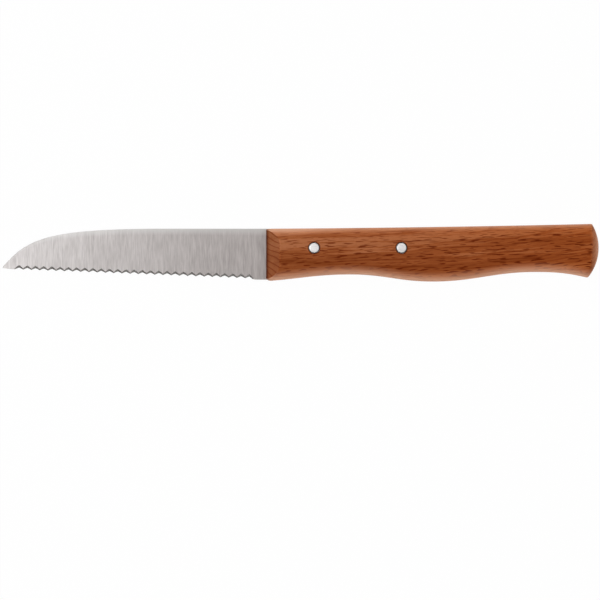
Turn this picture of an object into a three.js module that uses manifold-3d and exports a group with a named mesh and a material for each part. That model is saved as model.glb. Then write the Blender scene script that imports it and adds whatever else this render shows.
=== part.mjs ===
// A vegetable knife lying on its side. A thin stainless blade with a wavy edge carries a short flat tang, which
// sits in a slot sawn into the front of a one-piece beech handle. Two solid rivets go through handle and tang.
// Sizes are in millimetres. The knife is drawn with x = 0 at the front face of the handle and the blade towards
// -x, y = 0 at the spine with the cutting edge towards -y, and z = 0 in the middle of the blade's thickness.
// At the end the whole knife is moved so that its origin is the middle of its box, at the bottom.
import * as THREE from "three";
import { mergeVertices } from "three/addons/utils/BufferGeometryUtils.js";
import Module from "manifold-3d";

// Blade
const BLADE_LENGTH = 85; // tip to the front of the handle
const BLADE_DEPTH = 16.5; // spine to the edge at the heel
const STOCK_THICKNESS = 1.3; // steel of the spine and of the tang
const EDGE_THICKNESS = 0.3; // what the flat grind leaves at the edge
const SPINE_STRAIGHT = 32.6; // straight spine in front of the handle, before it sweeps down to the tip
const SWEEP_WEIGHT = 0.75; // how long the sweep stays level, as a share of its run
const TIP_WEIGHT = 0.22; // how long the sweep stays straight at the tip, as a share of its run
const TIP_SLOPE = THREE.MathUtils.degToRad(46); // fall of the spine at the tip
const TIP_DEPTH = 12.75; // spine to the edge at the tip
const TIP_BLUNT = 0.9; // height of the blunted tip

// Wavy edge, ground from the +z side only
const NOSE_LENGTH = 4.05; // plain edge at the tip
const NOSE_DEPTH = 13.15; // spine to the edge where the notches start
const HEEL_LENGTH = 3.75; // plain edge in front of the handle
const TOOTH_SETBACK = 0.35; // how far the notched edge lies above the heel where it meets it
const TOOTH_PITCH = 2.66; // from one notch to the next
const NOTCH_DEPTH = 0.55; // at the edge itself, on the -z face
const RIDGE_DEPTH = 0.95; // where the grind starts, on the +z face
const BEVEL_HEIGHT = 0.3; // of the grind between the notches and along the plain stretches

// Handle, with its lower outline given as depths under the spine
const HANDLE_LENGTH = 108; // front face to the rearmost point
const HANDLE_THICKNESS = 12;
const EDGE_ROUND = 4.8; // rounding of the long edges
const EDGE_FLAT_LEAST = 1; // narrowest flat that the rounding leaves along the back
const BACK_MIDDLE_RISE = 0.3; // pull of the gently hollow back at half its length
const BACK_RISE = 1.6; // rise of the back at the butt
const FRONT_DEPTH = 17;
const FRONT_SLOPE = 0.07; // rise of the lower outline behind the front face, per millimetre
const WAIST_AT = 27.8;
const WAIST_DEPTH = 14.8;
const BELLY_AT = 54.3;
const BELLY_DEPTH = 17.1;
const TAIL_AT = 87.7;
const TAIL_DEPTH = 14;
const BUTT_DEPTH = 16.75; // in line with the rearmost point
const BUTT_SLOPE = -0.26; // flare of the lower outline at the butt
const OUTLINE_WEIGHT = 0.41; // how long the outline keeps its slope at each of those points, as a share of a run
const FRONT_THICKNESS = 5.4; // of the front face, between the chamfers
const FRONT_CHAMFER = 4.9; // length of the chamfers along the handle
const BUTT_RADIUS = 15.1; // of the domed end
const BUTT_CENTRE_DEPTH = 6.2;

// Tang, slot and rivets
const HEEL_INSERT = 2; // how far the blade runs into the slot at its full depth
const TANG_INSET = 0.4; // step from the spine down to the tang's upper edge
const TANG_COVER = 1.2; // from the tang's lower edge to the handle's outline at the waist
const TANG_END = 6; // tang behind the middle of the rear rivet
const TANG_CORNER = 3; // rounding of the tang's end
const SLOT_GAP = 0.1; // between the tang and each side of the slot
const SLOT_END_GAP = 1; // between the tang's end and the end of the slot
const SAW_RADIUS = 60; // of the blade that saws the slot, which leaves its end hollow
const RIVET_FRONT_AT = 15.9;
const RIVET_SPACING = 28.2;
const RIVET_DEPTH = 6.25; // under the spine
const RIVET_DIAMETER = 3.3;
const RIVET_CHAMFER = 0.15;
const RIVET_INSET = 0.05; // below the sides of the handle
const RIVET_GAP = 0.15; // around the rivets

// Fineness of the curves
const CURVE_STEPS = 15; // odd, because the rounding goes astray at a point in the very middle of an S-curve
const TOOTH_STEPS = 8;
const ROUND_STEPS = 7;
const CIRCLE_STEPS = 32;
const SAW_STEPS = 160;
const BUTT_STEPS = 64;
const OVERRUN = 10; // how far cutters and rough outlines reach past what they shape

const TANG_DEPTH = WAIST_DEPTH - TANG_COVER;
const RIVETS_AT = { front: RIVET_FRONT_AT, rear: RIVET_FRONT_AT + RIVET_SPACING };
const TANG_LENGTH = RIVETS_AT.rear + TANG_END;

const wasm = await Module();
wasm.setup();

// A closed geometry as a solid that can be joined and cut.
function solidOf(geometry) {
  const bare = geometry.clone();
  bare.deleteAttribute("normal");
  bare.deleteAttribute("uv");
  const merged = mergeVertices(bare);
  return new wasm.Manifold(
    new wasm.Mesh({
      numProp: 3,
      vertProperties: merged.attributes.position.array,
      triVerts: new Uint32Array(merged.index.array),
    }),
  );
}

// A solid as a geometry for a mesh.
function geometryOf(solid) {
  const { vertProperties, triVerts } = solid.getMesh();
  const geometry = new THREE.BufferGeometry();
  geometry.setAttribute("position", new THREE.BufferAttribute(vertProperties, 3));
  geometry.setIndex(new THREE.BufferAttribute(triVerts, 1));
  geometry.computeVertexNormals();
  return geometry;
}

// A round bar across the knife, centred on the blade's middle plane.
function crossBar(radius, length, steps, x, y) {
  const bar = new THREE.CylinderGeometry(radius, radius, length, steps);
  return bar.rotateX(Math.PI / 2).translate(x, y, 0);
}

// The steel strip in outline, with its tang and its rivet holes. The edge is left for the grinding.
function blankShape() {
  const run = BLADE_LENGTH - SPINE_STRAIGHT;
  const tipTop = TIP_BLUNT - TIP_DEPTH;
  const shape = new THREE.Shape();
  shape.moveTo(HEEL_INSERT, 0);
  shape.lineTo(-SPINE_STRAIGHT, 0);
  shape.bezierCurveTo(
    -SPINE_STRAIGHT - SWEEP_WEIGHT * run,
    0,
    -BLADE_LENGTH + TIP_WEIGHT * run * Math.cos(TIP_SLOPE),
    tipTop + TIP_WEIGHT * run * Math.sin(TIP_SLOPE),
    -BLADE_LENGTH,
    tipTop,
  );
  shape.lineTo(-BLADE_LENGTH, -BLADE_DEPTH - OVERRUN / 2);
  shape.lineTo(HEEL_INSERT, -BLADE_DEPTH - OVERRUN / 2);
  shape.lineTo(HEEL_INSERT, -TANG_DEPTH);
  const corner = TANG_LENGTH - TANG_CORNER;
  shape.absarc(corner, TANG_CORNER - TANG_DEPTH, TANG_CORNER, -Math.PI / 2, 0);
  shape.absarc(corner, -TANG_INSET - TANG_CORNER, TANG_CORNER, 0, Math.PI / 2);
  shape.lineTo(HEEL_INSERT, -TANG_INSET);
  for (const x of Object.values(RIVETS_AT)) {
    const hole = new THREE.Path();
    hole.absarc(x, -RIVET_DEPTH, RIVET_DIAMETER / 2 + RIVET_GAP, 0, 2 * Math.PI);
    shape.holes.push(hole);
  }
  return shape;
}

// What the flat grind takes off one side of the blade, so that it thins evenly from the spine to the edge.
function flatGrind(side) {
  const thinning = (STOCK_THICKNESS - EDGE_THICKNESS) / 2 / BLADE_DEPTH;
  const top = STOCK_THICKNESS / 2 + thinning * OVERRUN;
  const bottom = EDGE_THICKNESS / 2 - thinning * OVERRUN;
  const shape = new THREE.Shape([
    new THREE.Vector2(side * top, OVERRUN),
    new THREE.Vector2(side * bottom, -BLADE_DEPTH - OVERRUN),
    new THREE.Vector2(side * 2 * STOCK_THICKNESS, -BLADE_DEPTH - OVERRUN),
  ]);
  const depth = OVERRUN + BLADE_LENGTH + HEEL_INSERT;
  const wedge = new THREE.ExtrudeGeometry(shape, { depth, bevelEnabled: false });
  return wedge.rotateY(Math.PI / 2).translate(-OVERRUN - BLADE_LENGTH, 0, 0);
}

// The line where the edge grind meets the plane at height z, closed well below the blade. The grind leans, so the
// notches are deeper and start higher on the +z face than on the -z face.
function edgeOutline(z) {
  const share = z / EDGE_THICKNESS + 0.5;
  const depth = THREE.MathUtils.lerp(NOTCH_DEPTH, RIDGE_DEPTH, share);
  const lift = BEVEL_HEIGHT * share;
  const noseEnd = new THREE.Vector2(NOSE_LENGTH - BLADE_LENGTH, lift - NOSE_DEPTH);
  const heelStart = new THREE.Vector2(-HEEL_LENGTH, lift + TOOTH_SETBACK - BLADE_DEPTH);
  const count = Math.round((heelStart.x - noseEnd.x) / TOOTH_PITCH);
  const points = [
    new THREE.Vector2(-BLADE_LENGTH - OVERRUN, lift - TIP_DEPTH),
    new THREE.Vector2(-BLADE_LENGTH, lift - TIP_DEPTH),
  ];
  for (let step = 0; step <= count * TOOTH_STEPS; step++) {
    const tooth = step / TOOTH_STEPS;
    const point = noseEnd.clone().lerp(heelStart, tooth / count);
    const heelRamp = Math.max(0, 1 - 2 * (count - tooth));
    point.y += depth * Math.abs(Math.sin(Math.PI * tooth)) - TOOTH_SETBACK * heelRamp;
    points.push(point);
  }
  points.push(new THREE.Vector2(HEEL_INSERT + OVERRUN / 2, lift - BLADE_DEPTH));
  points.push(new THREE.Vector2(HEEL_INSERT + OVERRUN / 2, -BLADE_DEPTH - OVERRUN));
  points.push(new THREE.Vector2(-BLADE_LENGTH - OVERRUN, -BLADE_DEPTH - OVERRUN));
  return points.reverse();
}

// A solid between two outlines with equally many points, both counter-clockwise seen from +z.
function loft(lower, lowerZ, upper, upperZ) {
  const count = lower.length;
  const positions = [
    ...lower.flatMap((p) => [p.x, p.y, lowerZ]),
    ...upper.flatMap((p) => [p.x, p.y, upperZ]),
  ];
  const faces = [];
  for (const [a, b, c] of THREE.ShapeUtils.triangulateShape(lower, [])) {
    faces.push(a, c, b);
  }
  for (const [a, b, c] of THREE.ShapeUtils.triangulateShape(upper, [])) {
    faces.push(count + a, count + b, count + c);
  }
  for (let i = 0; i < count; i++) {
    const next = (i + 1) % count;
    faces.push(i, next, count + next);
    faces.push(i, count + next, count + i);
  }
  const geometry = new THREE.BufferGeometry();
  geometry.setAttribute("position", new THREE.Float32BufferAttribute(positions, 3));
  geometry.setIndex(faces);
  return geometry;
}

function bladeGeometry() {
  const half = STOCK_THICKNESS / 2;
  const blank = new THREE.ExtrudeGeometry(blankShape(), {
    depth: STOCK_THICKNESS,
    bevelEnabled: false,
    curveSegments: CURVE_STEPS,
  });
  const edgeGrind = loft(edgeOutline(-half), -half, edgeOutline(half), half);
  let blade = solidOf(blank.translate(0, 0, -half));
  for (const cut of [flatGrind(1), flatGrind(-1), edgeGrind]) {
    blade = blade.subtract(solidOf(cut));
  }
  return geometryOf(blade);
}

// Adds a smooth curve from one point of the handle's outline to the next, with a given slope at each.
function sweep(path, from, to, fromSlope, toSlope) {
  const reach = OUTLINE_WEIGHT * (to.x - from.x);
  path.bezierCurveTo(
    from.x + reach,
    from.y + reach * fromSlope,
    to.x - reach,
    to.y - reach * toSlope,
    to.x,
    to.y,
  );
}

// The handle from the side, running on past its front and its butt, where it is cut afterwards.
function handleShape() {
  const front = new THREE.Vector2(0, -FRONT_DEPTH);
  const waist = new THREE.Vector2(WAIST_AT, -WAIST_DEPTH);
  const belly = new THREE.Vector2(BELLY_AT, -BELLY_DEPTH);
  const tail = new THREE.Vector2(TAIL_AT, -TAIL_DEPTH);
  const butt = new THREE.Vector2(HANDLE_LENGTH, -BUTT_DEPTH);
  const shape = new THREE.Shape();
  shape.moveTo(-OVERRUN, -FRONT_DEPTH - FRONT_SLOPE * OVERRUN);
  shape.lineTo(front.x, front.y);
  sweep(shape, front, waist, FRONT_SLOPE, 0);
  sweep(shape, waist, belly, 0, 0);
  sweep(shape, belly, tail, 0, 0);
  sweep(shape, tail, butt, 0, BUTT_SLOPE);
  shape.lineTo(HANDLE_LENGTH + OVERRUN, -BUTT_DEPTH + BUTT_SLOPE * OVERRUN);
  shape.lineTo(HANDLE_LENGTH + OVERRUN, BACK_RISE);
  shape.lineTo(HANDLE_LENGTH, BACK_RISE);
  shape.quadraticCurveTo(HANDLE_LENGTH / 2, BACK_MIDDLE_RISE, 0, 0);
  shape.lineTo(-OVERRUN, 0);
  return shape;
}

// The handle from above: the square front face, the two chamfers behind it, and room for the rest.
function frontPlan() {
  const slope = (HANDLE_THICKNESS - FRONT_THICKNESS) / 2 / FRONT_CHAMFER;
  const wide = HANDLE_THICKNESS / 2 + OVERRUN;
  const wideAt = (wide - FRONT_THICKNESS / 2) / slope;
  const shape = new THREE.Shape([
    new THREE.Vector2(0, -FRONT_THICKNESS / 2),
    new THREE.Vector2(wideAt, -wide),
    new THREE.Vector2(HANDLE_LENGTH + 2 * OVERRUN, -wide),
    new THREE.Vector2(HANDLE_LENGTH + 2 * OVERRUN, wide),
    new THREE.Vector2(wideAt, wide),
    new THREE.Vector2(0, FRONT_THICKNESS / 2),
  ]);
  const depth = BELLY_DEPTH + BUTT_DEPTH + 2 * OVERRUN;
  const plan = new THREE.ExtrudeGeometry(shape, { depth, bevelEnabled: false });
  return plan.rotateX(Math.PI / 2).translate(0, BACK_RISE + OVERRUN, 0);
}

// What is taken off behind the butt to leave it domed.
function buttWaste() {
  const length = BUTT_RADIUS + 2 * OVERRUN;
  const centre = HANDLE_LENGTH - BUTT_RADIUS;
  const size = 2 * (BUTT_RADIUS + OVERRUN);
  const block = new THREE.BoxGeometry(length, size, size).translate(length / 2, 0, 0);
  const dome = new THREE.SphereGeometry(BUTT_RADIUS, BUTT_STEPS, BUTT_STEPS / 2);
  const waste = solidOf(block).subtract(solidOf(dome));
  return waste.translate([centre, -BUTT_CENTRE_DEPTH, 0]);
}

function handleGeometry() {
  const round = Math.min(EDGE_ROUND, (HANDLE_THICKNESS - EDGE_FLAT_LEAST) / 2);
  const depth = HANDLE_THICKNESS - 2 * round;
  const bar = new THREE.ExtrudeGeometry(handleShape(), {
    depth,
    curveSegments: CURVE_STEPS,
    bevelThickness: round,
    bevelSize: round,
    bevelOffset: -round,
    bevelSegments: ROUND_STEPS,
  });
  const slotEnd = TANG_LENGTH + SLOT_END_GAP;
  const slotWidth = STOCK_THICKNESS + 2 * SLOT_GAP;
  const slotMiddle = -(TANG_INSET + TANG_DEPTH) / 2;
  const sawCut = crossBar(SAW_RADIUS, slotWidth, SAW_STEPS, slotEnd - SAW_RADIUS, slotMiddle);
  let handle = solidOf(bar.translate(0, 0, -depth / 2));
  handle = handle.intersect(solidOf(frontPlan()));
  handle = handle.subtract(buttWaste());
  handle = handle.subtract(solidOf(sawCut));
  for (const x of Object.values(RIVETS_AT)) {
    const radius = RIVET_DIAMETER / 2 + RIVET_GAP;
    const length = HANDLE_THICKNESS + OVERRUN;
    const drilling = crossBar(radius, length, CIRCLE_STEPS, x, -RIVET_DEPTH);
    handle = handle.subtract(solidOf(drilling));
  }
  return geometryOf(handle);
}

// A solid pin with chamfered ends, standing along z.
function rivetGeometry() {
  const radius = RIVET_DIAMETER / 2;
  const half = HANDLE_THICKNESS / 2 - RIVET_INSET;
  const profile = [
    new THREE.Vector2(0, -half),
    new THREE.Vector2(radius - RIVET_CHAMFER, -half),
    new THREE.Vector2(radius, RIVET_CHAMFER - half),
    new THREE.Vector2(radius, half - RIVET_CHAMFER),
    new THREE.Vector2(radius - RIVET_CHAMFER, half),
    new THREE.Vector2(0, half),
  ];
  return new THREE.LatheGeometry(profile, CIRCLE_STEPS).rotateX(Math.PI / 2);
}

const STEEL = { color: "#bdb8b6", roughness: 0.38, metalness: 1 };
const BEECH = { color: "#8c4c2a", roughness: 0.6, metalness: 0 };
const ALUMINIUM = { color: "#dedad9", roughness: 0.4, metalness: 1 };

function piece(name, geometry, look) {
  const mesh = new THREE.Mesh(geometry, new THREE.MeshStandardMaterial(look));
  mesh.name = name;
  return mesh;
}

const knife = new THREE.Group();
knife.add(piece("blade", bladeGeometry(), STEEL));
knife.add(piece("handle", handleGeometry(), BEECH));
for (const [place, x] of Object.entries(RIVETS_AT)) {
  const rivet = piece(`rivet_${place}`, rivetGeometry(), ALUMINIUM);
  rivet.position.set(x, -RIVET_DEPTH, 0);
  knife.add(rivet);
}

const box = new THREE.Box3().setFromObject(knife);
const middle = box.getCenter(new THREE.Vector3());
knife.position.set(-middle.x, -middle.y, -box.min.z);

export default knife;
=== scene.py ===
"""Dresses a vegetable knife: a wavy-edged steel blade, an oiled beech handle and two rivets."""

import logging
import math
from dataclasses import dataclass
from enum import Enum
from functools import cached_property
from typing import Any, Callable, Sequence

import bpy
import numpy as np
from bpy.types import Material, NodeSocket, NodeTree, Object
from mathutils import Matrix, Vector
from mathutils.geometry import interpolate_bezier


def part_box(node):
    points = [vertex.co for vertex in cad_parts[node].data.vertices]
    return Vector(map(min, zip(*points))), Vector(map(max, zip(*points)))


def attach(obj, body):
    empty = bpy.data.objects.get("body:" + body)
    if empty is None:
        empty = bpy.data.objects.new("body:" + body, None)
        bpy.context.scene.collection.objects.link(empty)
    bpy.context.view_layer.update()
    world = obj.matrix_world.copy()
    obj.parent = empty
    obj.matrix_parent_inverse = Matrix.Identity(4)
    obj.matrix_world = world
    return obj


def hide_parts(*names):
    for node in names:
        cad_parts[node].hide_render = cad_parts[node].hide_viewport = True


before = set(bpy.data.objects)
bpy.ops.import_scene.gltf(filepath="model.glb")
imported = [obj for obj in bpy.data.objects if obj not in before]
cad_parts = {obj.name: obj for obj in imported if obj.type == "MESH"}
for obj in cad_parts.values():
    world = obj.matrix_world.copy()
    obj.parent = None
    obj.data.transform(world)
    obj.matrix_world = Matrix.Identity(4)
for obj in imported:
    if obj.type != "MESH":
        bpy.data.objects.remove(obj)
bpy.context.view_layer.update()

MM = 0.001
LOG = logging.getLogger("vegetable_knife")
WHITE = "#ffffff"
# Nearly all of a noise pattern's values lie between these two.
NOISE_SPAN = (0.3, 0.7)
# Distance after which a wave pattern of scale 1 repeats its bands.
WAVE_BAND = math.tau / 20
# How many times longer a drill is than the thickness that it goes through.
DRILL_REACH = 2.0

Point = tuple[float, float, float]
Size = tuple[float, float, float]
Span = tuple[float, float]
Loop = list[Point]


class Body(Enum):
    """CAD bodies that pieces ride on."""

    KNIFE = "root"


class Slot(Enum):
    """Material slots of the record."""

    STEEL = "blade_steel"
    WOOD = "handle_wood"
    RIVET = "rivet_metal"


class RivetPlace(Enum):
    """The two rivets, by the CAD node that each one stands for."""

    FRONT = "rivet_front"
    REAR = "rivet_rear"


class Edge(Enum):
    """The handle's two long rounded edges."""

    BACK = "back"
    BELLY = "belly"


@dataclass(frozen=True)
class Datum:
    """Where the drawing's zero lies in the frame, in millimetres."""

    front: float
    spine: float
    middle: float

    @classmethod
    def from_frame(cls) -> "Datum":
        """Reads the handle's front, the blade's spine and the middle plane off the CAD nodes."""
        low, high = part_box("handle")
        return cls(low.x / MM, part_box("blade")[1].y / MM, (low.z + high.z) / 2 / MM)

    def place(self, point: Point) -> Vector:
        """Turns a drawing point in millimetres into a frame point in metres."""
        return (Vector(point) + Vector((self.front, self.spine, self.middle))) * MM

    def measure(self, spot: Vector) -> Vector:
        """Turns a frame point in metres into a drawing point in millimetres."""
        return spot / MM - Vector((self.front, self.spine, self.middle))


def linear(hex_colour: str) -> tuple[float, ...]:
    """Turns an sRGB hex colour into linear red, green and blue, with an alpha of 1."""
    parts = [int(hex_colour[i : i + 2], 16) / 255 for i in (1, 3, 5)]
    return *[c / 12.92 if c <= 0.04045 else ((c + 0.055) / 1.055) ** 2.4 for c in parts], 1.0


def add_node(
    tree: NodeTree,
    kind: str,
    *values: Any,
    inputs: dict[str, Any] | None = None,
    output: str | None = None,
    stops: Sequence[tuple[float, str]] = (),
    **settings: Any,
) -> NodeSocket | None:
    """Adds a shader node, sets it up and links it.

    Args:
        tree: Node tree that takes the node.
        kind: Shader node type, without the word ShaderNode.
        *values: Values for the inputs in their order. A socket is linked, anything else is set.
        inputs: The same by the inputs' names.
        output: Name of the wanted output, where it isn't the first.
        stops: Positions and hex colours along a colour ramp.
        **settings: Properties of the node itself.

    Returns:
        The wanted output socket, or None from a node without outputs.
    """
    node = tree.nodes.new("ShaderNode" + kind)
    for name, value in settings.items():
        setattr(node, name, value)
    for _ in stops[2:]:
        node.color_ramp.elements.new(0.5)
    for element, (position, colour) in zip(node.color_ramp.elements if stops else (), stops):
        element.position = position
        element.color = linear(colour)
    in_order = zip([socket for socket in node.inputs if socket.enabled], values)
    by_name = [(node.inputs[name], value) for name, value in (inputs or {}).items()]
    for socket, value in [*in_order, *by_name]:
        if isinstance(value, NodeSocket):
            tree.links.new(value, socket)
        else:
            socket.default_value = value
    wanted = [socket for socket in node.outputs if socket.enabled and output in (None, socket.name)]
    return wanted[0] if wanted else None


def new_material(name: str) -> tuple[Material, NodeTree]:
    """Makes an empty node material.

    Args:
        name: Name of the material.

    Returns:
        The material and its emptied node tree.
    """
    material = bpy.data.materials.new(name)
    material.use_nodes = True
    material.node_tree.nodes.clear()
    return material, material.node_tree


def streaks(
    tree: NodeTree, vector: NodeSocket, size_mm: Size, detail: float, shift: float = 0.0
) -> NodeSocket:
    """Draws noise in blots of a real size, which are streaks where one side is longer."""
    blots = add_node(tree, "Mapping", vector, [shift] * 3, [0.0] * 3, [1 / (side * MM) for side in size_mm])
    return add_node(tree, "TexNoise", inputs={"Vector": blots, "Scale": 1.0, "Detail": detail})


@dataclass(frozen=True)
class ScratchedMetal:
    """Bare metal with fine parallel scratches, which draw a highlight out into a satin sheen."""

    name: str
    pale: str
    dark: str
    scratch_mm: Size
    detail: float
    roughness: Span
    relief: float
    relief_depth_mm: float = 0.02

    def colour(self, tree: NodeTree, spot: NodeSocket, scratches: NodeSocket) -> NodeSocket:
        """Tints the metal along its scratches, all over alike."""
        low, high = NOISE_SPAN
        return add_node(tree, "ValToRGB", scratches, stops=[(low, self.dark), (high, self.pale)])

    def material(self) -> Material:
        """Builds the node material.

        Returns:
            The finished material.
        """
        material, tree = new_material(self.name)
        spot = add_node(tree, "TexCoord", output="Object")
        scratches = streaks(tree, spot, self.scratch_mm, self.detail)
        rough = add_node(tree, "MapRange", scratches, *NOISE_SPAN, *self.roughness)
        dents = {"Height": scratches, "Strength": self.relief, "Distance": self.relief_depth_mm * MM}
        surface = {
            "Base Color": self.colour(tree, spot, scratches),
            "Metallic": 1.0,
            "Roughness": rough,
            "Normal": add_node(tree, "Bump", inputs=dents),
        }
        add_node(tree, "OutputMaterial", add_node(tree, "BsdfPrincipled", inputs=surface))
        return material


@dataclass(frozen=True)
class BeltGroundSteel(ScratchedMetal):
    """Stainless steel ground across the blade on a belt, with its lines drawn wide enough to show."""

    name: str = "stainless_steel_belt_ground"
    pale: str = "#d6d2d1"
    dark: str = "#b6b1b0"
    scratch_mm: Size = (0.32, 4.0, 4.0)
    detail: float = 3.0
    roughness: Span = (0.32, 0.42)
    relief: float = 0.12
    band_mm: Size = (2.2, 12.0, 12.0)
    band_weight: float = 0.2
    # Colour of the painted highlight under the spine, and the share of the height where it starts.
    pale_tint: str = "#e2e2e1"
    spine_highlight_from: float = 0.86
    # Painted shade, multiplied in towards the heel.
    heel_painted_shade: str = "#e2dedc"
    tip_mm: float = 0.0
    heel_mm: float = 0.0

    def colour(self, tree: NodeTree, spot: NodeSocket, scratches: NodeSocket) -> NodeSocket:
        """Tints the steel in lines and wider bands, with a painted highlight under the spine and painted
        shade towards the heel.

        Args:
            tree: The material's nodes.
            spot: Object coordinates.
            scratches: The pattern of the belt lines.

        Returns:
            The colour.
        """
        bands = streaks(tree, spot, self.band_mm, detail=1.0, shift=7.0)
        tone = add_node(tree, "Mix", self.band_weight, scratches, bands)
        colour = super().colour(tree, spot, tone)
        # Painted shade: the steel is darkened towards the heel, standing in for the light that falls off
        # along the blade.
        along = add_node(tree, "SeparateXYZ", spot, output="X")
        heel = add_node(tree, "MapRange", along, self.tip_mm * MM, self.heel_mm * MM)
        # Painted highlight: a band under the spine is made lighter, most of all near the heel, standing in
        # for the light that the spine's edge catches.
        height = add_node(tree, "Attribute", attribute_name="spine_highlight_share", output="Fac")
        most = add_node(tree, "Math", heel, operation="SQRT")
        spine_highlight = add_node(tree, "MapRange", height, self.spine_highlight_from, 1.0, 0.0, most)
        colour = add_node(tree, "Mix", spine_highlight, colour, linear(self.pale_tint), data_type="RGBA")
        shade = linear(self.heel_painted_shade)
        return add_node(tree, "Mix", heel, colour, shade, data_type="RGBA", blend_type="MULTIPLY")


@dataclass(frozen=True)
class WheelGroundSteel(ScratchedMetal):
    """The same steel ground with a fine wheel: smoother, so the edge mirrors the dark side of the room."""

    name: str = "stainless_steel_wheel_ground"
    pale: str = "#cdc9c4"
    dark: str = "#b3aeaa"
    scratch_mm: Size = (0.3, 4.0, 4.0)
    detail: float = 2.0
    roughness: Span = (0.16, 0.26)
    relief: float = 0.0


@dataclass(frozen=True)
class SandedAluminium(ScratchedMetal):
    """Solid aluminium sanded flush along the wood's grain: almost white, with faint scratches."""

    name: str = "aluminium_sanded"
    pale: str = "#f6f4f3"
    dark: str = "#e2dfdd"
    scratch_mm: Size = (3.0, 0.2, 0.2)
    detail: float = 2.0
    roughness: Span = (0.34, 0.5)
    relief: float = 0.2


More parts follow.
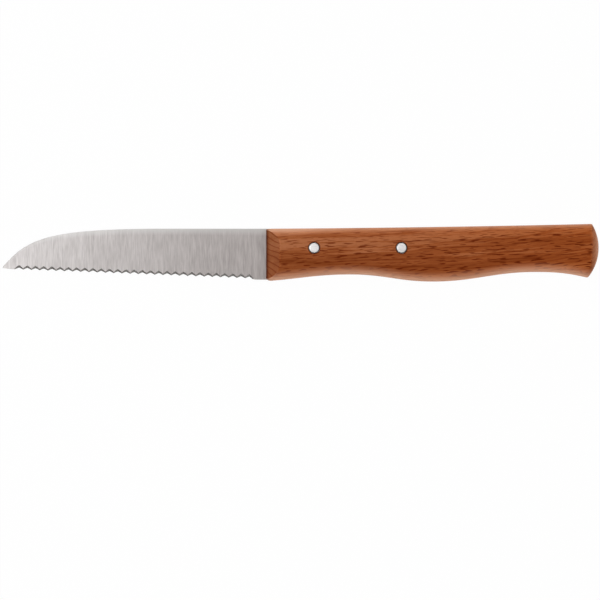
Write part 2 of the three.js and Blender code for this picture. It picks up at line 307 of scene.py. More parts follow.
@dataclass(frozen=True)
class OiledBeech:
    """Steamed beech, sanded and oiled: reddish brown, with slanting rings and short dark flecks."""

    rivet_places: tuple[Vector, ...]
    front_mm: float
    rear_mm: float
    name: str = "beech_steamed_oiled"
    pale: str = "#b6714a"
    mid: str = "#a55c33"
    dark: str = "#86411b"
    fleck: str = "#6a2302"
    cut_end: str = "#8a5133"
    heartwood: str = "#fadeb6"
    # Pale edge colours, for real scuffing plus painted highlight on the rounded edges and the butt.
    scuffed_lit_edge: str = "#de9b74"
    scuffed_and_lit: str = "#e7b294"
    # Colour of the darkening beside the blade and round the rivets.
    darkening: str = "#45190c"
    grain_rise_deg: float = 3.5
    ring_tilt_deg: float = 40.0
    ring_mm: float = 1.5
    drift_mm: Size = (38.0, 7.0, 7.0)
    drift_reach_mm: float = 1.6
    bow_mm: float = 1.8
    fibre_mm: Size = (16.0, 0.5, 0.5)
    patch_mm: Size = (45.0, 3.2, 3.2)
    fleck_mm: Size = (3.4, 0.9, 0.2)
    fleck_span: Span = (0.595, 0.67)
    back_flecks_from: float = 0.3
    back_flecks: float = 0.6
    pore_mm: Size = (1.6, 0.16, 0.16)
    pore_span: Span = (0.58, 0.75)
    pore_share: float = 0.4
    late_wood_from: float = 0.7
    ring_tone: float = 0.13
    fibre_tone: float = 0.4
    patch_tone: float = 0.52
    back_tone: float = 0.235
    rear_tone: float = 0.165
    tone_stops: tuple[float, ...] = (0.556, 0.741, 0.831)
    pale_back_mm: Span = (-6.5, 4.0)
    pale_rear: float = 0.6
    cut_across: Span = (0.35, 0.56)
    cut_share: float = 0.65
    cut_lines: float = 0.7
    dry_fibres: Span = (0.6, 1.0)
    scuff_and_highlight_span: Span = (0.35, 0.9)
    rivet_dark_ring_mm: Span = (1.85, 2.15)
    ior: float = 1.5
    specular_level: float = 0.03
    roughness: Span = (0.5, 0.68)
    relief: float = 0.35
    relief_depth_mm: float = 0.05
    fibre_relief: float = 0.4
    pore_relief: float = -0.6
    fleck_relief: float = -0.35

    def material(self) -> Material:
        """Builds the node material.

        Returns:
            The finished material.
        """
        material, tree = new_material(self.name)
        spot = add_node(tree, "TexCoord", output="Object")
        rise = (0.0, 0.0, math.radians(-self.grain_rise_deg))
        lean = add_node(tree, "Mapping", spot, (0.0, 0.0, 0.0), rise)
        along = add_node(tree, "SeparateXYZ", lean, output="X")
        rear = add_node(tree, "MapRange", along, self.front_mm * MM, self.rear_mm * MM)
        grain = self.grain(tree, lean, rear)
        fibres = streaks(tree, grain, self.fibre_mm, detail=4.0, shift=52.0)
        pores = streaks(tree, grain, self.pore_mm, detail=1.0, shift=23.0)
        pores = add_node(tree, "MapRange", pores, *self.pore_span, 0.0, self.pore_share)
        height = add_node(tree, "SeparateXYZ", lean, output="Y")
        most = add_node(tree, "MapRange", rear, 0.0, 1.0, 1.0, self.pale_rear)
        back = add_node(tree, "MapRange", height, *[edge * MM for edge in self.pale_back_mm], 0.0, most)
        # A face counts as side grain until it turns towards the ends, where the wood is cut across.
        facing = add_node(tree, "SeparateXYZ", add_node(tree, "NewGeometry", output="Normal"), output="X")
        facing = add_node(tree, "Math", facing, operation="ABSOLUTE")
        side = add_node(tree, "MapRange", facing, *self.cut_across, 1.0, 0.0)
        flecks = self.flecks(tree, grain, side, back)

        colour = self.sawn_colour(tree, rear, grain, fibres, side, back)
        for share, coat in ((pores, self.dark), (flecks, self.fleck)):
            colour = add_node(tree, "Mix", share, colour, linear(coat), data_type="RGBA")
        colour = self.pale_edges_and_darkening(tree, spot, fibres, colour)

        # Fibres stand up a little, while pores and flecks lie deeper.
        heights = ((fibres, self.fibre_relief), (pores, self.pore_relief), (flecks, self.fleck_relief))
        relief: Any = 0.0
        for value, weight in heights:
            relief = add_node(tree, "Math", value, weight, relief, operation="MULTIPLY_ADD")
        dents = {"Height": relief, "Strength": self.relief, "Distance": self.relief_depth_mm * MM}
        surface = {
            "Base Color": colour,
            "Roughness": add_node(tree, "MapRange", fibres, *NOISE_SPAN, *self.roughness),
            "IOR": self.ior,
            "Specular IOR Level": self.specular_level,
            "Normal": add_node(tree, "Bump", inputs=dents),
        }
        add_node(tree, "OutputMaterial", add_node(tree, "BsdfPrincipled", inputs=surface))
        return material

    def grain(self, tree: NodeTree, lean: NodeSocket, rear: NodeSocket) -> NodeSocket:
        """Sets up the wood's own axes: x along the grain, y across the growth rings and z along them.

        Args:
            tree: The material's nodes.
            lean: Object coordinates turned so that x follows the grain.
            rear: 0 at the front to 1 at the butt.

        Returns:
            Coordinates in the wood's axes, which bow and drift a little as real grain does.
        """
        tilt = (math.radians(-self.ring_tilt_deg), 0.0, 0.0)
        wood = add_node(tree, "Mapping", lean, (0.0, 0.0, 0.0), tilt)
        reach = self.drift_reach_mm * MM
        drift = streaks(tree, wood, self.drift_mm, detail=1.0, shift=30.0)
        drift = add_node(tree, "MapRange", drift, 0.0, 1.0, -reach, reach)
        ends = add_node(tree, "MapRange", rear, 0.0, 1.0, -1.0, 1.0)
        bow = add_node(tree, "Math", ends, ends, operation="MULTIPLY")
        bent = add_node(tree, "Math", bow, -self.bow_mm * MM, drift, operation="MULTIPLY_ADD")
        offset = add_node(tree, "CombineXYZ", 0.0, bent, 0.0)
        return add_node(tree, "VectorMath", wood, offset, operation="ADD")

    def flecks(self, tree: NodeTree, grain: NodeSocket, side: NodeSocket, back: NodeSocket) -> NodeSocket:
        """Draws the rays, which show as short dark flecks on side grain, with fewer along the back.

        Args:
            tree: The material's nodes.
            grain: Coordinates in the wood's axes.
            side: 1 on side grain and 0 where the wood is cut across.
            back: 0 at the belly to 1 at the back.

        Returns:
            How much of a fleck there is.
        """
        rays = streaks(tree, grain, self.fleck_mm, detail=0.0, shift=9.0)
        rays = add_node(tree, "MapRange", rays, *self.fleck_span)
        fewer = add_node(tree, "MapRange", back, self.back_flecks_from, 1.0, 1.0, self.back_flecks)
        shown = add_node(tree, "Math", rays, side, operation="MULTIPLY")
        return add_node(tree, "Math", shown, fewer, operation="MULTIPLY")

    def sawn_colour(
        self,
        tree: NodeTree,
        rear: NodeSocket,
        grain: NodeSocket,
        fibres: NodeSocket,
        side: NodeSocket,
        back: NodeSocket,
    ) -> NodeSocket:
        """Colours the freshly cut wood.

        Args:
            tree: The material's nodes.
            rear: 0 at the front to 1 at the butt.
            grain: Coordinates in the wood's axes.
            fibres: The pattern of the fibres.
            side: 1 on side grain and 0 where the wood is cut across.
            back: 0 at the belly to 1 at the back.

        Returns:
            The colour without rays, pores and the pale edges.
        """
        # A ring goes from pale early wood, at 1, to a thin line of late wood, at 0.
        scale = WAVE_BAND / (self.ring_mm * MM)
        bands = {"Vector": grain, "Scale": scale, "Distortion": 0.6, "Detail": 1.0, "Detail Scale": 0.3}
        settings = {"bands_direction": "Y", "wave_profile": "SAW"}
        wave = add_node(tree, "TexWave", inputs=bands, output="Fac", **settings)
        rings = add_node(tree, "MapRange", wave, self.late_wood_from, 1.0, 1.0, 0.0)
        patches = streaks(tree, grain, self.patch_mm, detail=2.0, shift=38.0)

        shades = (rings, fibres, patches, back, rear)
        weights = (self.ring_tone, self.fibre_tone, self.patch_tone, self.back_tone, self.rear_tone)
        tone: Any = 0.0
        for value, weight in zip(shades, weights):
            tone = add_node(tree, "Math", value, weight, tone, operation="MULTIPLY_ADD")
        stops = list(zip(self.tone_stops, (self.dark, self.mid, self.pale)))
        colour = add_node(tree, "ValToRGB", tone, stops=stops)
        red = linear(self.heartwood)
        colour = add_node(tree, "Mix", rear, colour, red, data_type="RGBA", blend_type="MULTIPLY")

        # Cut across, the wood is duller and its rings stand out as dark lines.
        ends = add_node(tree, "MapRange", side, 0.0, 1.0, self.cut_share, 0.0)
        colour = add_node(tree, "Mix", ends, colour, linear(self.cut_end), data_type="RGBA")
        between = add_node(tree, "Math", rings, side, operation="MAXIMUM")
        lines = add_node(tree, "MapRange", between, 0.0, 1.0, self.cut_lines, 0.0)
        return add_node(tree, "Mix", lines, colour, linear(self.fleck), data_type="RGBA")

    def pale_edges_and_darkening(
        self, tree: NodeTree, spot: NodeSocket, fibres: NodeSocket, colour: NodeSocket
    ) -> NodeSocket:
        """Paints the rounded edges pale, part real scuffing and part painted highlight, and darkens the
        wood beside the blade and round the rivets.

        Args:
            tree: The material's nodes.
            spot: Object coordinates.
            fibres: The pattern of the fibres, which break up the pale edges and the darkening unevenly.
            colour: The colour before the pale edges and the darkening.

        Returns:
            The colour with the pale edges and the darkening.
        """
        dry = add_node(tree, "MapRange", fibres, *NOISE_SPAN, *self.dry_fibres)
        # Painted highlight, partly real scuffing: the rounded edges and the butt are painted pale where
        # they would catch the light.
        scuffed_and_lit = add_node(tree, "Attribute", attribute_name="scuffed_and_lit", output="Fac")
        scuffed_lit_edge = add_node(tree, "Math", scuffed_and_lit, dry, operation="MULTIPLY")
        stops = list(zip(self.scuff_and_highlight_span, (self.scuffed_lit_edge, self.scuffed_and_lit)))
        pale_tint = add_node(tree, "ValToRGB", scuffed_and_lit, stops=stops)
        colour = add_node(tree, "Mix", scuffed_lit_edge, colour, pale_tint, data_type="RGBA")
        # Darker beside the blade and in a ring round each rivet.
        darkened = add_node(tree, "Attribute", attribute_name="darkened", output="Fac")
        near, far = (size * MM for size in self.rivet_dark_ring_mm)
        for place in self.rivet_places:
            away = add_node(tree, "VectorMath", spot, place, operation="SUBTRACT")
            away = add_node(tree, "VectorMath", away, (1.0, 1.0, 0.0), operation="MULTIPLY")
            away = add_node(tree, "VectorMath", away, operation="LENGTH")
            ring = add_node(tree, "MapRange", away, near, far, 1.0, 0.0)
            darkened = add_node(tree, "Math", darkened, ring, operation="MAXIMUM")
        darkened_share = add_node(tree, "Math", darkened, dry, operation="MULTIPLY")
        return add_node(tree, "Mix", darkened_share, colour, linear(self.darkening), data_type="RGBA")


def deselect_all() -> None:
    """Leaves nothing selected, so that an operator acts only on the new piece."""
    bpy.ops.object.select_all(action="DESELECT")


def pick(piece: Object) -> None:
    """Selects one piece alone and makes it the active one.

    Args:
        piece: Object that the next operators act on.
    """
    deselect_all()
    piece.select_set(True)
    bpy.context.view_layer.objects.active = piece


def skin(name: str, loops: Sequence[Loop], datum: Datum, merge_mm: float = 0.004) -> Object:
    """Rolls a grid into a closed skin over a row of loops.

    Transform operators don't draw curved outlines or a wavy edge, so the points are set one by one.

    Args:
        name: Name of the new piece.
        loops: Loops of equally many points in drawing millimetres, the first and last drawn together.
        datum: Where the drawing lies in the frame.
        merge_mm: Distance under which points are one.

    Returns:
        The new piece, with its faces outwards and its origin at the frame's.
    """
    rows, columns = len(loops), len(loops[0])
    deselect_all()
    bpy.ops.mesh.primitive_grid_add(x_subdivisions=columns, y_subdivisions=rows - 1, size=2)
    piece = bpy.context.object
    piece.name = name
    for vertex in piece.data.vertices:
        column = round((vertex.co.x + 1) / 2 * columns) % columns
        row = round((vertex.co.y + 1) / 2 * (rows - 1))
        vertex.co = datum.place(loops[row][column])
    bpy.ops.object.mode_set(mode="EDIT")
    bpy.ops.mesh.select_all(action="SELECT")
    bpy.ops.mesh.remove_doubles(threshold=merge_mm * MM)
    bpy.ops.mesh.dissolve_degenerate(threshold=merge_mm * MM)
    bpy.ops.mesh.normals_make_consistent(inside=False)
    bpy.ops.object.mode_set(mode="OBJECT")
    return piece


def cut(piece: Object, cutter: Object) -> None:
    """Takes a cutter's volume out of a piece and removes the cutter.

    Args:
        piece: Object that is cut.
        cutter: Closed object whose volume is taken away.
    """
    modifier = piece.modifiers.new("cut", "BOOLEAN")
    modifier.operation = "DIFFERENCE"
    modifier.solver = "EXACT"
    modifier.object = cutter
    pick(piece)
    bpy.ops.object.modifier_apply(modifier=modifier.name)
    bpy.data.objects.remove(cutter, do_unlink=True)


def cross_bar(radius: float, length: float, sides: int, centre: Point, datum: Datum) -> Object:
    """Adds a round bar across the knife.

    Args:
        radius: Its radius in millimetres.
        length: Its length in millimetres.
        sides: How many sides it has.
        centre: Its middle, in drawing millimetres.
        datum: Where the drawing lies in the frame.

    Returns:
        The bar.
    """
    deselect_all()
    bpy.ops.mesh.primitive_cylinder_add(
        vertices=sides, radius=radius * MM, depth=length * MM, location=datum.place(centre)
    )
    return bpy.context.object


def mark(piece: Object, name: str, value: Callable[[float, float, float], float], datum: Datum) -> None:
    """Stores a value at every point of a piece, for its finish to read.

    Args:
        piece: Object that is marked.
        name: Name that the finish asks for.
        value: Gives the value at a place in drawing millimetres.
        datum: Where the drawing lies in the frame.
    """
    layer = piece.data.attributes.new(name, "FLOAT", "POINT")
    for vertex in piece.data.vertices:
        layer.data[vertex.index].value = value(*datum.measure(vertex.co))


def adopt(piece: Object, node: str, sharp_deg: float) -> None:
    """Shades a piece, lets it ride on the knife and stand for its CAD node.

    Args:
        piece: The finished piece.
        node: CAD node that it stands for.
        sharp_deg: Angle between faces above which an edge stays sharp.
    """
    pick(piece)
    bpy.ops.object.shade_smooth_by_angle(angle=math.radians(sharp_deg))
    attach(piece, Body.KNIFE.value)
    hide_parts(node)
    LOG.info("%s: %d faces", piece.name, len(piece.data.polygons))


def blend_points(start: Point, end: Point, share: float) -> Point:
    """Gives a point on the way from one point to another."""
    return tuple(a + (b - a) * share for a, b in zip(start, end))


def arc_points(start: Point, corner: Point, end: Point, steps: int = 4) -> Loop:
    """Draws a small rounding from one point to another, pulled towards the corner between them."""
    shares = np.linspace(0.0, 1.0, steps + 1)
    return [blend_points(blend_points(start, corner, s), blend_points(corner, end, s), s) for s in shares]


@dataclass
class Rivets:
    """Two solid pins through handle and tang, in millimetres from the handle's front end and the spine."""

    datum: Datum
    front_at: float = 15.9
    spacing: float = 28.2
    below_spine: float = 6.25
    diameter: float = 3.3
    hole_gap: float = 0.15
    fill_gap: float = 0.02
    inset: float = 0.05
    neck: float = 4.0
    neck_step: float = 0.1
    chamfer: float = 0.06
    chamfer_steps: int = 3
    crown: float = 0.025
    crown_rings: tuple[float, ...] = (0.2, 0.3)
    sides: int = 64
    sharp_deg: float = 30.0

    def centre(self, place: RivetPlace) -> Point:
        """Gives a rivet's middle in drawing millimetres."""
        return self.front_at + (self.spacing if place is RivetPlace.REAR else 0.0), -self.below_spine, 0.0

    def hole(self, place: RivetPlace, length: float) -> Object:
        """Adds the drilling for a rivet."""
        radius = self.diameter / 2 + self.hole_gap
        return cross_bar(radius, length, self.sides, self.centre(place), self.datum)

    def build(self, handle_thickness: float) -> dict[RivetPlace, Object]:
        """Models the front rivet and copies it to the rear.

        A pin fills its hole, and its ends are necked, so that each stands in a narrow ring of shadow.

        Args:
            handle_thickness: Thickness that the pins go through.

        Returns:
            The finished pins by their places.
        """
        half = handle_thickness / 2 - self.inset
        body = self.diameter / 2 + self.hole_gap - self.fill_gap
        pin = cross_bar(body, 2 * (half - self.neck), self.sides, self.centre(RivetPlace.FRONT), self.datum)
        bpy.ops.object.transform_apply(location=True, rotation=True, scale=True)
        bpy.ops.object.mode_set(mode="EDIT")
        bpy.ops.mesh.select_mode(type="FACE")
        for up in (1, -1):
            self.pick_end(pin, up)
            bpy.ops.mesh.inset(thickness=(body - self.diameter / 2 + self.neck_step) * MM)
            bpy.ops.mesh.extrude_region_move(TRANSFORM_OT_translate={"value": (0, 0, up * self.neck * MM)})
            bpy.ops.mesh.region_to_loop()
            bpy.ops.mesh.bevel(offset=self.chamfer * MM, segments=self.chamfer_steps, affect="EDGES")
            bpy.ops.mesh.select_mode(type="FACE")
            for share in self.crown_rings:
                self.pick_end(pin, up)
                bpy.ops.mesh.inset(thickness=share * self.diameter / 2 * MM)
                bpy.ops.transform.translate(value=(0, 0, up * self.crown / len(self.crown_rings) * MM))
        bpy.ops.object.mode_set(mode="OBJECT")
        pick(pin)
        bpy.ops.object.duplicate(linked=False)
        bpy.ops.transform.translate(value=(self.spacing * MM, 0, 0))
        bpy.ops.object.transform_apply(location=True, rotation=True, scale=True)
        pins = {RivetPlace.FRONT: pin, RivetPlace.REAR: bpy.context.object}
        for place, piece in pins.items():
            piece.name = place.value + "_pin"
        return pins

    def pick_end(self, pin: Object, up: int) -> None:
        """Selects a pin's outermost face in edit mode.

        Args:
            pin: The pin under work.
            up: 1 for its upper end and -1 for its lower end.
        """
        bpy.ops.mesh.select_all(action="DESELECT")
        bpy.ops.object.mode_set(mode="OBJECT")
        outermost = max(pin.data.polygons, key=lambda polygon: up * polygon.center.z)
        outermost.select = True
        bpy.ops.object.mode_set(mode="EDIT")

    def dress(self, pins: dict[RivetPlace, Object], finish: SandedAluminium) -> None:
        """Gives the pins their finish and their body.

        Args:
            pins: The finished pins by their places.
            finish: Finish of both.
        """
        material = finish.material()
        for place, pin in pins.items():
            pin.data.materials.append(material)
            adopt(pin, place.value, self.sharp_deg)


@dataclass
class Blade:
    """A thin wavy-edged blade with a half tang, in millimetres from the handle's front and the spine."""

    datum: Datum
    length: float = 85.0
    depth: float = 16.5
    stock: float = 1.3
    edge_stock: float = 0.2
    spine_straight: float = 32.6
    sweep_weight: float = 0.75
    sweep_steps: int = 60
    tip_weight: float = 0.227
    tip_slope: float = math.radians(48)
    tip_depth: float = 12.75
    tip_blunt: float = 0.35
    tip_round: float = 0.25
    tip_steps: int = 6
    nose_length: float = 4.05
    nose_depth: float = 13.15
    nose_steps: int = 11
    heel_length: float = 3.75
    tooth_pitch: float = 2.66
    tooth_setback: float = 0.35
    tooth_straight: float = 0.65
    tooth_steps: int = 16
    notch_depth: float = 0.6
    ridge_depth: float = 1.0
    ridge_limit: float = 0.7
    bevel_height: float = 0.4
    bevel_fade: float = 0.4
    plain_bevel: float = 0.06
    corner: float = 0.12
    corner_limit: float = 0.25
    corner_soft: float = 0.3
    back_reach: float = 0.24
    heel_insert: float = 2.0
    tang_inset: float = 0.4
    tang_depth: float = 13.6
    tang_length: float = 50.1
    tang_corner: float = 3.0
    tang_steps: int = 11
    grind_down: float = 0.15
    grind_up: float = 0.1
    sharp_deg: float = 9.0

    @cached_property
    def teeth(self) -> int:
        """Counts the notches that fit between nose and heel."""
        return round((self.length - self.nose_length - self.heel_length) / self.tooth_pitch)

    @cached_property
    def sweep(self) -> list[Vector]:
        """Draws the curve along which the back falls to the tip.

        Returns:
            Points from the tip to the straight part of the back.
        """
        run = self.length - self.spine_straight
        tip = Vector((-self.length, self.tip_blunt - self.tip_depth, 0))
        rise = Vector((math.cos(self.tip_slope), math.sin(self.tip_slope), 0))
        end = Vector((-self.spine_straight, 0, 0))
        before = end - Vector((self.sweep_weight * run, 0, 0))
        return interpolate_bezier(tip, tip + self.tip_weight * run * rise, before, end, self.sweep_steps)

    def half_thickness(self, x: float, y: float) -> float:
        """Gives half the blade's thickness at a point, thinning evenly from the spine to the teeth."""
        line = np.interp(x, (-self.length, 0.0), (-self.tip_depth, -self.depth))
        return np.interp(y, (line, 0.0), (self.edge_stock / 2, self.stock / 2))

    def spine(self, x: float) -> float:
        """Gives the height of the blade's back.

        Args:
            x: Place along the blade.

        Returns:
            The height, with the very tip rounded down to the edge.
        """
        height = np.interp(x, [p.x for p in self.sweep], [p.y for p in self.sweep])
        into_tip = max(0.0, (self.tip_round - self.length - x) / self.tip_round)
        return (height + self.tip_depth) * math.sqrt(max(0.0, 1 - into_tip**2)) - self.tip_depth

    def edge(self, x: float, notch: float, lift: float) -> float:
        """Gives the height of the edge, or of the ridge where its grind starts.

        Args:
            x: Place along the blade.
            notch: Depth of the notches.
            lift: Height above the tooth points. It fades to the plain bevel on nose and heel.

        Returns:
            The height of that line.
        """
        start, end = self.nose_length - self.length, -self.heel_length
        plain = min(lift, self.plain_bevel)
        fade = (start - self.bevel_fade, start, end, end + self.bevel_fade)
        rise = np.interp(x, fade, (plain, lift, lift, plain))
        if x <= start:
            return rise + np.interp(x, (-self.length, start), (-self.tip_depth, -self.nose_depth))
        if x >= end:
            return rise - self.depth
        line = np.interp(x, (start, end), (-self.nose_depth, self.tooth_setback - self.depth))
        tooth = (x - start) / (end - start) * self.teeth
        arch = abs(math.sin(math.pi * tooth))
        gable = 1 - abs(2 * (tooth % 1) - 1)
        wave = arch + self.tooth_straight * (gable - arch)
        heel_drop = self.tooth_setback * max(0.0, 1 - 2 * (self.teeth - tooth))
        return rise + line + notch * wave - heel_drop

    def back_corner(self, x: float, top: float, half: float, corner: float) -> Loop:
        """Draws the softened corner between back and upper face."""
        soft = self.corner_soft * corner
        return [(x, top, half - corner), (x, top - soft, half - soft), (x, top - corner, half)]

    def blade_loop(self, x: float) -> Loop:
        """Draws the section of the ground blade.

        Args:
            x: Place along the blade.

        Returns:
            Points from the back over the upper face and the edge to the lower face.
        """
        top = self.spine(x)
        edge = self.edge(x, self.notch_depth, 0.0)
        ridge = self.edge(x, self.ridge_depth, self.bevel_height)
        ridge = min(ridge, edge + self.ridge_limit * (top - edge))
        corner = min(self.corner, self.corner_limit * (top - edge))
        upper = self.back_corner(x, top, self.half_thickness(x, top - corner), corner)
        lower = [(px, py, -pz) for px, py, pz in reversed(upper)]
        # The edge is one point, told three times to match the tang's underside.
        keen = (x, edge, -self.half_thickness(x, edge))
        return [*upper, (x, ridge, self.half_thickness(x, ridge)), keen, keen, keen, *lower]

    def tang_loop(self, x: float) -> Loop:
        """Draws the section of the tang, whose end is rounded.

        Args:
            x: Place along the knife.

        Returns:
            Points in the same order as the blade's.
        """
        past = max(0.0, x - (self.tang_length - self.tang_corner)) / self.tang_corner
        drop = self.tang_corner * (1 - math.sqrt(max(0.0, 1 - past**2)))
        half, corner = self.stock / 2, self.corner
        upper = self.back_corner(x, -self.tang_inset - drop, half, corner)
        lower = [(px, py, -pz) for px, py, pz in reversed(upper)]
        bottom = drop - self.tang_depth
        raised = bottom + corner
        low = [(raised, half), (bottom, half - corner), (bottom, corner - half), (raised, -half)]
        return [*upper, *[(x, y, z) for y, z in low], *lower]

    def stations(self) -> tuple[list[float], list[float]]:
        """Lists the places where sections are drawn.

        Returns:
            Places along the ground blade, then places along the tang.
        """
        start, end = self.nose_length - self.length, -self.heel_length
        quarter = math.pi / 2
        tip = [self.tip_round * (1 - math.cos(a)) for a in np.linspace(0, quarter, self.tip_steps + 1)]
        tip = [into - self.length for into in tip]
        nose = np.linspace(tip[-1], start, self.nose_steps + 1)
        teeth = np.linspace(start, end, self.teeth * self.tooth_steps + 1)
        ground = [*tip, *nose[1:], *teeth[1:], end + self.bevel_fade, 0.0, self.heel_insert]
        bend = [self.tang_corner * math.sin(a) for a in np.linspace(0, quarter, self.tang_steps + 1)]
        return ground, [self.heel_insert, *[self.tang_length - self.tang_corner + past for past in bend]]

    def build(self, rivets: Rivets) -> Object:
        """Models the blade with its tang and drills it for the rivets.

        Args:
            rivets: The rivets that go through the tang.

        Returns:
            The finished blade.
        """
        ground, tang = self.stations()
        loops = [self.blade_loop(x) for x in ground] + [self.tang_loop(x) for x in tang]
        loops = [self.closed(loops[0]), *loops, self.closed(loops[-1])]
        blade = skin("blade_ground", loops, self.datum)
        for place in RivetPlace:
            cut(blade, rivets.hole(place, DRILL_REACH * self.stock))
        return blade

    def closed(self, loop: Loop) -> Loop:
        """Draws a loop together into its middle, to close an end."""
        middle = tuple(sum(values) / len(loop) for values in zip(*loop))
        return [middle] * len(loop)

    def spine_highlight_share(self, x: float, y: float, z: float) -> float:
        """Gives 1 at a point of the back and 0 lower down, so that the painted highlight under the spine
        fades from one to the other.
        """
        return 1.0 if y > self.spine(x) - self.back_reach else 0.0

    def dress(self, blade: Object, face: BeltGroundSteel, grind: WheelGroundSteel) -> None:
        """Gives the faces and the edge grind their finishes.

        Args:
            blade: The finished blade.
            face: Finish of the flat faces, the spine and the tang.
            grind: Finish of the notches and the bevel.
        """
        mark(blade, "spine_highlight_share", self.spine_highlight_share, self.datum)
        blade.data.materials.append(face.material())
        blade.data.materials.append(grind.material())
        for polygon in blade.data.polygons:
            ahead = self.datum.measure(polygon.center).x < 0
            tilted = -polygon.normal.y > self.grind_down and polygon.normal.z > self.grind_up
            if ahead and tilted:
                polygon.material_index = 1
        adopt(blade, "blade", self.sharp_deg)


@dataclass(frozen=True)
class SectionPoint:
    """A point round the handle's section: its edge, its height over the edge's middle and its depth."""

    edge: Edge
    rise: float
    z: float


@dataclass
class Handle:
    """A one-piece handle with a sawn slot, in millimetres from its front end and the blade's spine."""

    datum: Datum
    length: float = 108.0
    thickness: float = 12.0
    edge_round: float = 4.8
    back_middle_rise: float = 0.3
    back_rise: float = 1.6
    front_depth: float = 17.0
    front_slope: float = 0.07
    waist: tuple[float, float] = (27.8, -14.8)
    belly: tuple[float, float] = (54.3, -17.1)
    tail: tuple[float, float] = (87.7, -14.0)
    butt_depth: float = 16.75
    butt_slope: float = -0.26
    outline_weight: float = 0.41
    outline_steps: int = 60
    front_thickness: float = 5.4
    front_chamfer: float = 4.9
    front_set_back: float = 0.4
    front_corner: float = 0.7
    front_corner_back: float = 0.3
    butt_radius: float = 15.1
    butt_centre_depth: float = 6.2
    crease: float = 0.35
    butt_crease: float = 1.0
    slot_width: float = 1.5
    slot_length: float = 51.1
    saw_radius: float = 60.0
    saw_depth: float = 7.0
    saw_sides: int = 256
    edge_steps: int = 14
    chamfer_steps: int = 7
    run_steps: int = 150
    butt_steps: int = 22
    rim_tries: int = 6
    sharp_deg: float = 25.0
    # Where the pale edges start and how strong they are: real scuffing plus painted highlight, stronger
    # where more light falls.
    full_scuff_and_highlight: float = 0.94
    belly_scuff_and_highlight_from: float = 0.36
    back_scuff_and_highlight_from: Span = (0.46, 0.68)
    back_scuff_and_highlight: Span = (1.0, 0.65)
    back_scuff_and_highlight_run: Span = (8.0, 30.0)
    butt_scuff_and_highlight: float = 0.75
    butt_scuff_and_highlight_reach: Span = (0.3, 2.8)
    # Reach of the darkening beside the blade.
    front_darkening_reach: Span = (0.3, 1.0)
    touch: float = 0.01

    @cached_property
    def belly_line(self) -> list[Vector]:
        """Draws the lower outline as a chain of curves over waist, belly and tail.

        Returns:
            Points from front to rear.
        """
        front, butt = (0.0, -self.front_depth), (self.length, -self.butt_depth)
        knots = [front, self.waist, self.belly, self.tail, butt]
        slopes = [self.front_slope, 0.0, 0.0, 0.0, self.butt_slope]
        points = []
        for i in range(len(knots) - 1):
            start, end = Vector((*knots[i], 0)), Vector((*knots[i + 1], 0))
            reach = self.outline_weight * (end.x - start.x)
            after = start + reach * Vector((1, slopes[i], 0))
            before = end - reach * Vector((1, slopes[i + 1], 0))
            points += interpolate_bezier(start, after, before, end, self.outline_steps)
        return points

    def corner_drop(self, x: float) -> float:
        """Gives how far the front corners are rubbed down at a place along the handle."""
        rub = max(0.0, 1 - max(0.0, x - self.front_set_back) / (2 * self.front_corner))
        return self.front_corner * rub**2

    def lower(self, x: float) -> float:
        """Gives the height of the handle's lower outline at a place along it."""
        height = np.interp(x, [p.x for p in self.belly_line], [p.y for p in self.belly_line])
        return float(height) + self.corner_drop(x)

    def upper(self, x: float) -> float:
        """Gives the height of the handle's back.

        Args:
            x: Place along the handle.

        Returns:
            The height, with the front corner rubbed down.
        """
        share = x / self.length
        bow = 2 * share * (1 - share) * self.back_middle_rise + share**2 * self.back_rise
        return bow - self.front_corner_back * self.corner_drop(x)

    def chamfer_depth(self, x: float) -> float:
        """Gives how far from the middle plane the front chamfers lie at a place along the handle."""
        slope = (self.thickness - self.front_thickness) / 2 / self.front_chamfer
        return self.front_thickness / 2 + slope * x

    def chamfer_end(self, z: float) -> float:
        """Gives where the front chamfers run out at a depth, or the front face where they don't."""
        share = (abs(z) - self.front_thickness / 2) / (self.thickness - self.front_thickness) * 2
        return max(self.front_set_back, share * self.front_chamfer)

    def section(self) -> list[SectionPoint]:
        """Lists the points round a section.

        Returns:
            Points from the back over the upper side to the belly, and back over the lower side.
        """
        flat = self.thickness / 2 - self.edge_round
        turns = np.linspace(0.0, math.pi / 2, self.edge_steps + 1)
        quarter = [(self.edge_round * math.cos(a), flat + self.edge_round * math.sin(a)) for a in turns]
        back = [SectionPoint(Edge.BACK, rise, z) for rise, z in quarter]
        belly = [SectionPoint(Edge.BELLY, -rise, z) for rise, z in reversed(quarter)]
        upper = back + belly
        return upper + [SectionPoint(point.edge, point.rise, -point.z) for point in reversed(upper)]

    def spot(self, point: SectionPoint, x: float) -> Point:
        """Gives the place of a section point on the handle's side or its front chamfer.

        Args:
            point: Point of the section.
            x: Place along the handle.

        Returns:
            The place in drawing millimetres.
        """
        if point.edge is Edge.BACK:
            middle = self.upper(x) - self.edge_round
        else:
            middle = self.lower(x) + self.edge_round
        depth = min(abs(point.z), self.chamfer_depth(x))
        return x, middle + point.rise, math.copysign(depth, point.z)

    def dome(self, y: float, z: float) -> float:
        """Gives the place of the domed butt at a height and depth."""
        across = (y + self.butt_centre_depth) ** 2 + z**2
        return self.length - self.butt_radius + math.sqrt(max(0.0, self.butt_radius**2 - across))

    def dome_spot(self, y: float, z: float, share: float) -> Point:
        """Gives a point of the butt's dome on the way from its middle to its rim."""
        height = share * (y + self.butt_centre_depth) - self.butt_centre_depth
        return self.dome(height, share * z), height, share * z

    def line(self, point: SectionPoint) -> Loop:
        """Draws one line over the handle's skin, from the front face's middle to the butt's middle.

        Args:
            point: Section point that the line follows.

        Returns:
            Points from front to rear.
        """
        front = self.front_set_back
        ridge = self.chamfer_end(point.z)
        crease = min(self.crease, (ridge - front) / 2)
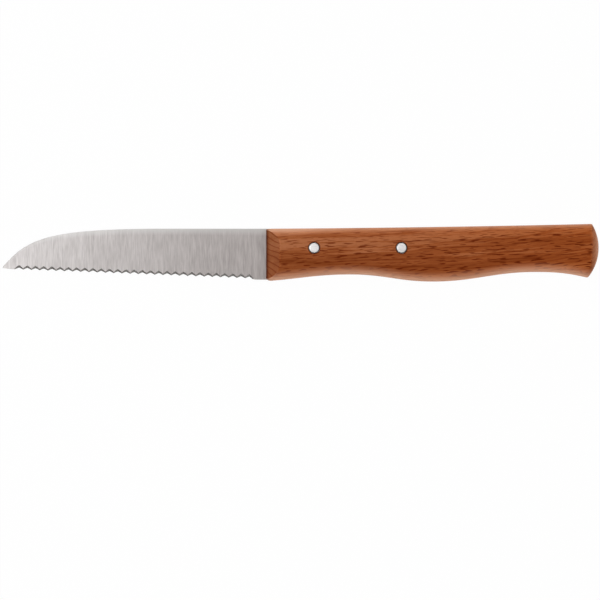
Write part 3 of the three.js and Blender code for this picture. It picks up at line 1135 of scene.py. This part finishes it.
        # Steps grow from the front, so that the darkening beside the blade has points enough to fade over.
        steps = np.linspace(0.0, 1.0, self.chamfer_steps, endpoint=False)
        chamfer = [self.spot(point, front + (ridge - crease - front) * share**2) for share in steps]
        fold = [self.spot(point, x) for x in (ridge - crease, ridge, ridge + crease)]

        # The side meets the dome at a rim that is found step by step, and rounds over it more on the flats.
        end = self.length
        for _ in range(self.rim_tries):
            end = self.dome(*self.spot(point, end)[1:])
        rim = self.spot(point, end)
        turn = self.crease + self.butt_crease * (2 * point.z / self.thickness) ** 2
        inner = 1 - turn / math.hypot(rim[1] + self.butt_centre_depth, rim[2])
        dome = [self.dome_spot(*rim[1:], share) for share in np.linspace(inner, 0.0, self.butt_steps + 1)]
        run = [self.spot(point, x) for x in np.linspace(ridge + crease, end - turn, self.run_steps + 1)]
        middle = (front, chamfer[0][1], 0.0)
        rounding = arc_points(run[-1], rim, dome[0])
        return [middle, *chamfer, *arc_points(*fold), *run[1:-1], *rounding, *dome[1:]]

    def build(self, rivets: Rivets) -> Object:
        """Models the handle, saws its slot and drills it for the rivets.

        Args:
            rivets: The rivets that go through the handle.

        Returns:
            The finished handle.
        """
        lines = [self.line(point) for point in self.section()]
        handle = skin("handle_beech", [list(loop) for loop in zip(*lines)], self.datum)
        mark(handle, "scuffed_and_lit", self.scuff_and_highlight, self.datum)
        mark(handle, "darkened", self.darkening, self.datum)
        saw_centre = (self.slot_length - self.saw_radius, -self.saw_depth, 0.0)
        cut(handle, cross_bar(self.saw_radius, self.slot_width, self.saw_sides, saw_centre, self.datum))
        for place in RivetPlace:
            cut(handle, rivets.hole(place, DRILL_REACH * self.thickness))
        return handle

    def scuff_and_highlight(self, x: float, y: float, z: float) -> float:
        """Gives how pale the skin is painted: real scuffing plus painted highlight along the rounded edges
        and the butt, and not on the chamfers.

        Args:
            x: Place along the handle.
            y: Height.
            z: Depth.

        Returns:
            0 for none to 1 for fully pale.
        """
        if abs(z) > self.chamfer_depth(x) - self.touch:
            return 0.0
        # Painted highlight on top of some real scuffing: the belly's pale band starts further in, where
        # more light falls, and the back's is wider and brighter towards the front.
        above = 1 - (self.upper(x) - y) / self.edge_round
        below = 1 - (y - self.lower(x)) / self.edge_round
        start = np.interp(x, self.back_scuff_and_highlight_run, self.back_scuff_and_highlight_from)
        most = np.interp(x, self.back_scuff_and_highlight_run, self.back_scuff_and_highlight)
        back = np.interp(above, (start, self.full_scuff_and_highlight), (0.0, most))
        belly = np.interp(below, (self.belly_scuff_and_highlight_from, self.full_scuff_and_highlight), (0.0, 1.0))
        butt = np.interp(self.length - x, self.butt_scuff_and_highlight_reach, (self.butt_scuff_and_highlight, 0.0))
        return max(back, belly, butt)

    def darkening(self, x: float, y: float, z: float) -> float:
        """Gives how much the skin is darkened, from 1 beside the blade to 0 further back."""
        return np.interp(x - self.front_set_back, self.front_darkening_reach, (1.0, 0.0))

    def dress(self, handle: Object, finish: OiledBeech) -> None:
        """Gives the handle its finish and its body."""
        handle.data.materials.append(finish.material())
        adopt(handle, "handle", self.sharp_deg)


@dataclass(frozen=True)
class Lamp:
    """A soft rectangular lamp, in millimetres. A face that glows with 1 is white."""

    name: str
    place: Point
    aim: Point
    size: tuple[float, float]
    glow: float

    def hang(self) -> None:
        """Hangs the lamp where it faces its aim."""
        data = bpy.data.lights.new(self.name, "AREA")
        data.shape = "RECTANGLE"
        data.size, data.size_y = (side * MM for side in self.size)
        # A lamp's face glows with its energy over four times its area.
        data.energy = 4 * data.size * data.size_y * self.glow
        lamp = bpy.data.objects.new(self.name, data)
        lamp.location = Vector(self.place) * MM
        lamp.rotation_euler = (Vector(self.aim) - Vector(self.place)).to_track_quat("-Z", "Y").to_euler()
        lamp.visible_camera = False
        bpy.context.scene.collection.objects.link(lamp)


@dataclass
class Studio:
    """White floor, soft lamps and a camera that looks straight down, in millimetres."""

    datum: Datum
    # The blade's 85 mm take up 262.5 pixels of the image.
    mm_per_pixel: float = 85 / 262.5
    image_side: int = 600
    handle_front_pixel: float = 265.0
    spine_pixel: float = 228.75
    lens: float = 300.0
    sensor: float = 36.0
    floor_side: float = 3000.0
    paper: str = "#f4f4f3"
    paper_glow: float = 0.98
    room_light: Span = (0.18, 0.44)
    wall_light: float = 2.6
    wall_top: Span = (0.12, 0.18)
    lamps: tuple[Lamp, ...] = (
        Lamp("ceiling", (-100, 1500, 1900), (-100, 1500, 0), (2400, 3700), 0.4),
        Lamp("softbox", (-330, 60, 520), (-60, 0, 0), (320, 260), 4.0),
    )

    def camera(self) -> None:
        """Hangs the camera over the point that the middle of the image shows."""
        half = self.image_side / 2
        x = self.datum.front + (half - self.handle_front_pixel) * self.mm_per_pixel
        y = self.datum.spine - (half - self.spine_pixel) * self.mm_per_pixel
        distance = self.image_side * self.mm_per_pixel * self.lens / self.sensor
        data = bpy.data.cameras.new("camera")
        data.lens = self.lens
        data.sensor_width = self.sensor
        data.clip_end = (distance + self.floor_side) * MM
        camera = bpy.data.objects.new("camera", data)
        camera.location = Vector((x, y, self.datum.middle + distance)) * MM
        bpy.context.scene.collection.objects.link(camera)
        bpy.context.scene.camera = camera

    def floor(self) -> None:
        """Lays the floor, which shows as white paper with a trace of the knife's shadow."""
        deselect_all()
        bpy.ops.mesh.primitive_plane_add(size=self.floor_side * MM, location=(0, 0, 0))
        floor = bpy.context.object
        floor.name = "floor"
        material, tree = new_material("paper_white_matt")
        seen: Any = 0.0
        for ray in ("Is Camera Ray", "Is Glossy Ray", "Is Transmission Ray"):
            path = add_node(tree, "LightPath", output=ray)
            seen = add_node(tree, "Math", path, seen, operation="MAXIMUM")
        share = add_node(tree, "Math", seen, self.paper_glow, operation="MULTIPLY")
        matt = add_node(tree, "BsdfDiffuse", linear(self.paper))
        white = add_node(tree, "Emission", linear(WHITE), 1.0)
        add_node(tree, "OutputMaterial", add_node(tree, "MixShader", share, matt, white))
        floor.data.materials.append(material)

    def room(self) -> None:
        """Fills the room with light, more on the handle's side, and lights its walls low down."""
        world = bpy.data.worlds.new("room")
        world.use_nodes = True
        tree = world.node_tree
        tree.nodes.clear()
        direction = add_node(tree, "TexCoord", output="Generated")
        across = add_node(tree, "SeparateXYZ", direction, output="X")
        above = add_node(tree, "MapRange", across, -1.0, 1.0, *self.room_light)
        height = add_node(tree, "SeparateXYZ", direction, output="Z")
        strength = add_node(tree, "MapRange", height, *self.wall_top, self.wall_light, above)
        light = add_node(tree, "Background", linear(WHITE), strength)
        add_node(tree, "OutputWorld", light)
        bpy.context.scene.world = world

    def build(self) -> None:
        """Sets up floor, room, lamps, camera and plain colour management."""
        self.floor()
        self.room()
        for lamp in self.lamps:
            lamp.hang()
        self.camera()
        bpy.context.scene.view_settings.view_transform = "Standard"


def main() -> None:
    """Builds the studio and the knife's pieces in order."""
    logging.basicConfig(level=logging.INFO, format="%(name)s: %(message)s")
    datum = Datum.from_frame()
    Studio(datum).build()
    rivets = Rivets(datum)
    blade = Blade(datum)
    handle = Handle(datum)
    steel = BeltGroundSteel(tip_mm=datum.front - blade.length, heel_mm=datum.front)
    beech = OiledBeech(
        rivet_places=tuple(datum.place(rivets.centre(place)) for place in RivetPlace),
        front_mm=datum.front,
        rear_mm=datum.front + handle.length,
    )
    blade.dress(blade.build(rivets), steel, WheelGroundSteel())
    handle.dress(handle.build(rivets), beech)
    rivets.dress(rivets.build(handle.thickness), SandedAluminium())


if __name__ == "__main__":
    main()
